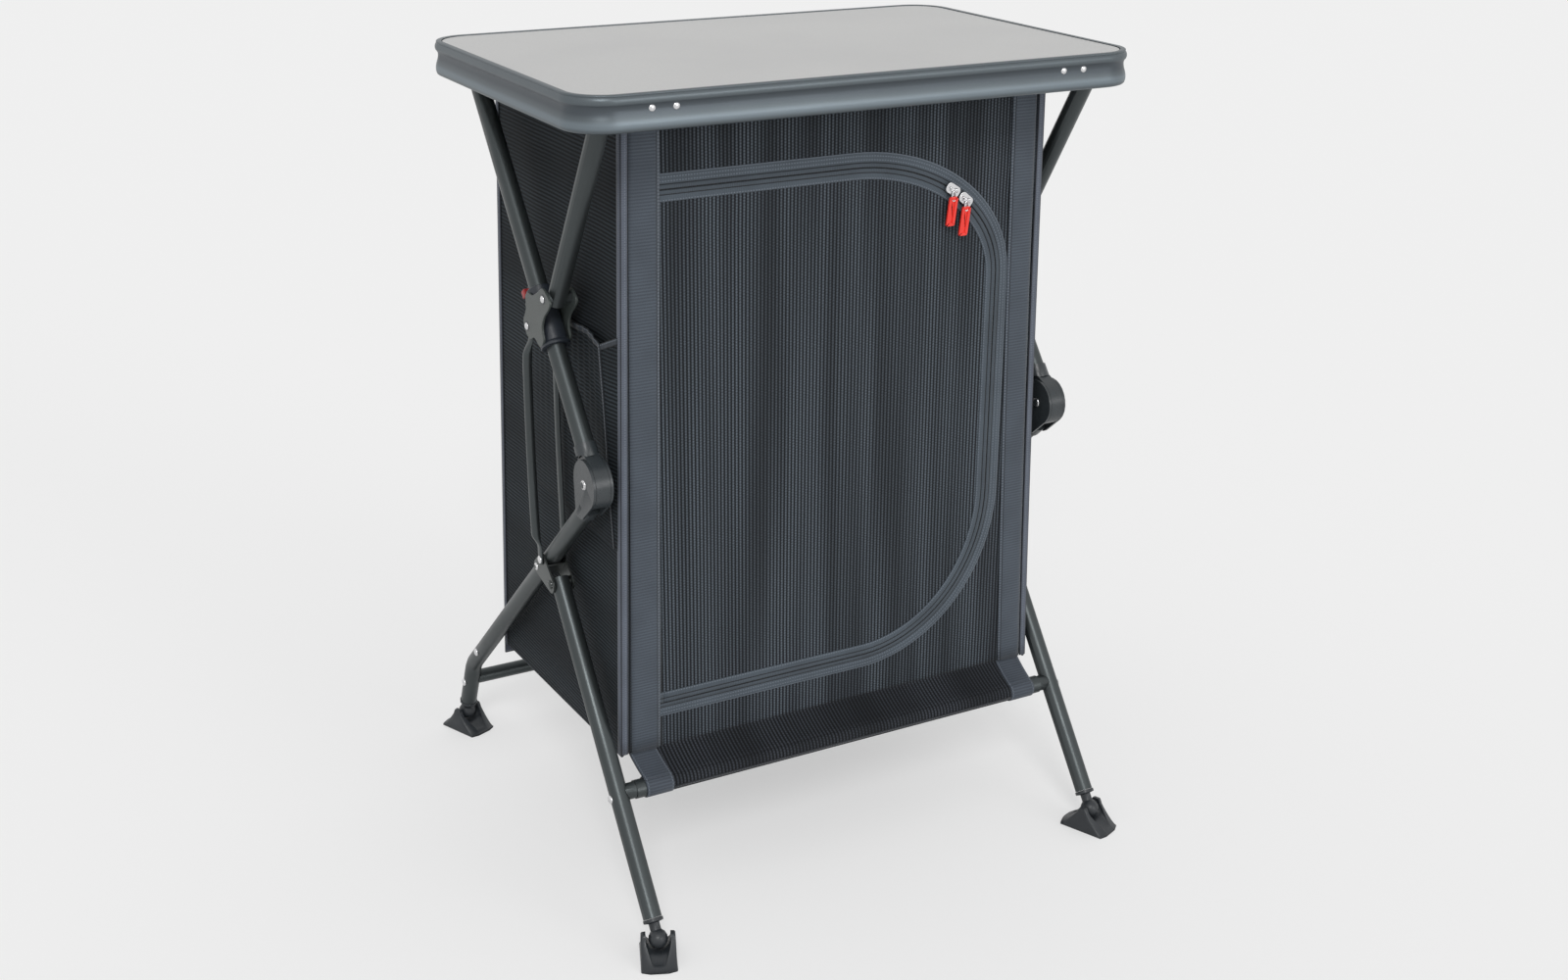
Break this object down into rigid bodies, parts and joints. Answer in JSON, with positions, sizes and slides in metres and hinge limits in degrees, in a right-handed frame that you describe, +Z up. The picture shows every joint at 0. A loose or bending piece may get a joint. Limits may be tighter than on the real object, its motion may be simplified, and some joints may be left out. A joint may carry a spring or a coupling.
{
  "type": "folding camping cupboard",
  "caption": "Folding camping cupboard: a rimmed tabletop on scissor side frames, with a hanging mesh cabinet, zip door and side pocket.",
  "frame": {"origin": "on the ground, midway between the front and the rear feet", "axes": "+Z up, +X to the right seen from the front, +Y to the back"},
  "size_m": [0.699, 0.6964, 0.975],
  "materials": {
    "board": "satin",
    "rim": "satin",
    "grey_tube": "satin",
    "bracket_metal": "satin",
    "grey_moulding": "satin",
    "black_plastic": "matte",
    "red_plastic": "satin",
    "mesh_cloth": "matte",
    "zip_tape": "matte",
    "lining_board": "matte",
    "bright_metal": "polished"
  },
  "bodies": {
    "table": {"tabletop_board": "board", "tabletop_rim": "rim", "front_bracket_left": "bracket_metal", "front_bracket_right": "bracket_metal", "rear_bracket_left": "bracket_metal", "rear_bracket_right": "bracket_metal", "front_panel": "mesh_cloth", "side_panel_left": "mesh_cloth", "side_panel_right": "mesh_cloth", "back_panel": "mesh_cloth", "side_pocket_left": "mesh_cloth"},
    "brace_left": {"front_brace_left": "grey_tube"},
    "sliding_hub_left": {"hub_left": "grey_moulding"},
    "lock_button_left": {"lock_button_left": "red_plastic"},
    "strut_left": {"rear_strut_left": "grey_tube", "upper_knuckle_left": "grey_moulding"},
    "links_left": {"outer_link_left": "grey_tube", "inner_link_left": "grey_tube"},
    "brace_right": {"front_brace_right": "grey_tube"},
    "sliding_hub_right": {"hub_right": "grey_moulding"},
    "lock_button_right": {"lock_button_right": "red_plastic"},
    "strut_right": {"rear_strut_right": "grey_tube", "upper_knuckle_right": "grey_moulding"},
    "links_right": {"outer_link_right": "grey_tube", "inner_link_right": "grey_tube"},
    "rear_legs": {"rear_leg_left": "grey_tube", "rear_leg_right": "grey_tube", "lower_knuckle_left": "grey_moulding", "lower_knuckle_right": "grey_moulding", "leg_bracket_left": "bracket_metal", "leg_bracket_right": "bracket_metal", "rear_crossbar": "grey_tube", "rear_foot_plug_left": "black_plastic", "rear_foot_plug_right": "black_plastic"},
    "front_legs": {"front_leg_left": "grey_tube", "front_leg_right": "grey_tube", "front_crossbar": "grey_tube", "crossbar_sleeve": "mesh_cloth", "front_foot_plug_left": "black_plastic", "front_foot_plug_right": "black_plastic"},
    "front_pad_left": {"front_foot_pad_left": "black_plastic"},
    "front_pad_right": {"front_foot_pad_right": "black_plastic"},
    "rear_pad_left": {"rear_foot_pad_left": "black_plastic"},
    "rear_pad_right": {"rear_foot_pad_right": "black_plastic"},
    "floor_board": {"floor_panel": "lining_board"},
    "shelf_board": {"shelf_panel": "lining_board"},
    "door": {"door_panel": "mesh_cloth", "door_zip": "zip_tape"},
    "zip_sliders": {"zip_slider_upper": "bright_metal", "zip_slider_lower": "bright_metal"},
    "pull_tab_upper": {"pull_tab_upper": "red_plastic"},
    "pull_tab_lower": {"pull_tab_lower": "red_plastic"}
  },
  "joints": [
    {"name": "fold", "type": "hinge", "parent": "table", "child": "brace_left", "pos_m": [-0.306, -0.21594, 0.949], "axis": [1, 0, 0], "range_deg": [0, 57.6], "deforming": ["front_panel", "side_panel_left", "side_panel_right", "back_panel", "side_pocket_left", "door_panel", "door_zip"]},
    {"name": "brace_right_turn", "type": "hinge", "parent": "table", "child": "brace_right", "pos_m": [0.306, -0.21594, 0.949], "axis": [1, 0, 0], "range_deg": [0, 58.6]},
    {"name": "hub_left_turn", "type": "hinge", "parent": "brace_left", "child": "sliding_hub_left", "pos_m": [-0.306, -0.07883, 0.7241], "axis": [1, 0, 0], "range_deg": [-89.3, 0]},
    {"name": "strut_left_slide", "type": "slide", "parent": "sliding_hub_left", "child": "strut_left", "axis": [0, -0.6202, -0.7845], "range_m": [0, 0.2198]},
    {"name": "links_left_turn", "type": "hinge", "parent": "sliding_hub_left", "child": "links_left", "pos_m": [-0.306, -0.02777, 0.67991], "axis": [1, 0, 0], "range_deg": [-26.3, 0]},
    {"name": "hub_right_turn", "type": "hinge", "parent": "brace_right", "child": "sliding_hub_right", "pos_m": [0.306, -0.07883, 0.7241], "axis": [1, 0, 0], "range_deg": [-89.3, 0]},
    {"name": "strut_right_slide", "type": "slide", "parent": "sliding_hub_right", "child": "strut_right", "axis": [0, -0.6202, -0.7845], "range_m": [0, 0.2198]},
    {"name": "links_right_turn", "type": "hinge", "parent": "sliding_hub_right", "child": "links_right", "pos_m": [0.306, -0.02777, 0.67991], "axis": [1, 0, 0], "range_deg": [-26.3, 0]},
    {"name": "rear_legs_turn", "type": "hinge", "parent": "strut_left", "child": "rear_legs", "pos_m": [-0.306, -0.16573, 0.53282], "axis": [1, 0, 0], "range_deg": [0, 77.2]},
    {"name": "front_legs_turn", "type": "hinge", "parent": "rear_legs", "child": "front_legs", "pos_m": [-0.306, -0.05692, 0.36887], "axis": [1, 0, 0], "range_deg": [0, 75.5]},
    {"name": "floor_board_rise", "type": "slide", "parent": "table", "child": "floor_board", "axis": [0, 0, 1], "range_m": [0, 0.545]},
    {"name": "shelf_board_rise", "type": "slide", "parent": "table", "child": "shelf_board", "axis": [0, 0, 1], "range_m": [0, 0.25]},
    {"name": "zip_sliders_rise", "type": "slide", "parent": "table", "child": "zip_sliders", "axis": [0, 0, 1], "range_m": [0, 0.107]},
    {"name": "front_pad_left_tilt", "type": "hinge", "parent": "front_legs", "child": "front_pad_left", "pos_m": [-0.306, -0.31342, 0.026], "axis": [1, 0, 0], "range_deg": [-18, 18]},
    {"name": "front_pad_right_tilt", "type": "hinge", "parent": "front_legs", "child": "front_pad_right", "pos_m": [0.306, -0.31342, 0.026], "axis": [1, 0, 0], "range_deg": [-18, 18]},
    {"name": "rear_pad_left_tilt", "type": "hinge", "parent": "rear_legs", "child": "rear_pad_left", "pos_m": [-0.306, 0.31342, 0.026], "axis": [1, 0, 0], "range_deg": [-18, 18]},
    {"name": "rear_pad_right_tilt", "type": "hinge", "parent": "rear_legs", "child": "rear_pad_right", "pos_m": [0.306, 0.31342, 0.026], "axis": [1, 0, 0], "range_deg": [-18, 18]},
    {"name": "door_swing", "type": "hinge", "parent": "table", "child": "door", "pos_m": [-0.232, -0.17994, 0.56], "axis": [0, 0, -1], "range_deg": [0, 150]},
    {"name": "pull_tab_upper_swing", "type": "hinge", "parent": "zip_sliders", "child": "pull_tab_upper", "pos_m": [0.14451, -0.18614, 0.82061], "axis": [-1, 0, 0], "range_deg": [0, 150]},
    {"name": "pull_tab_lower_swing", "type": "hinge", "parent": "zip_sliders", "child": "pull_tab_lower", "pos_m": [0.16271, -0.18614, 0.80732], "axis": [-1, 0, 0], "range_deg": [0, 150]},
    {"name": "lock_button_left_press", "type": "slide", "parent": "sliding_hub_left", "child": "lock_button_left", "axis": [0, -0.7845, 0.6202], "range_m": [0, 0.002], "stiffness_N_per_m": 500},
    {"name": "lock_button_right_press", "type": "slide", "parent": "sliding_hub_right", "child": "lock_button_right", "axis": [0, -0.7845, 0.6202], "range_m": [0, 0.002], "stiffness_N_per_m": 500}
  ],
  "couplings": [
    {"joint": "brace_right_turn", "follows": "fold", "ratio": 1},
    {"joint": "hub_left_turn", "follows": "fold", "ratio": -1.5239},
    {"joint": "strut_left_slide", "follows": "fold", "m_per_rad": 0.21491},
    {"joint": "links_left_turn", "follows": "fold", "ratio": -0.44881},
    {"joint": "hub_right_turn", "follows": "fold", "ratio": -1.5239},
    {"joint": "strut_right_slide", "follows": "fold", "m_per_rad": 0.21491},
    {"joint": "links_right_turn", "follows": "fold", "ratio": -0.44881},
    {"joint": "rear_legs_turn", "follows": "fold", "ratio": 1.3174},
    {"joint": "front_legs_turn", "follows": "fold", "ratio": 1.2884},
    {"joint": "floor_board_rise", "follows": "fold", "m_per_rad": 0.53287},
    {"joint": "shelf_board_rise", "follows": "fold", "m_per_rad": 0.24444},
    {"joint": "zip_sliders_rise", "follows": "fold", "m_per_rad": 0.10462}
  ]
}
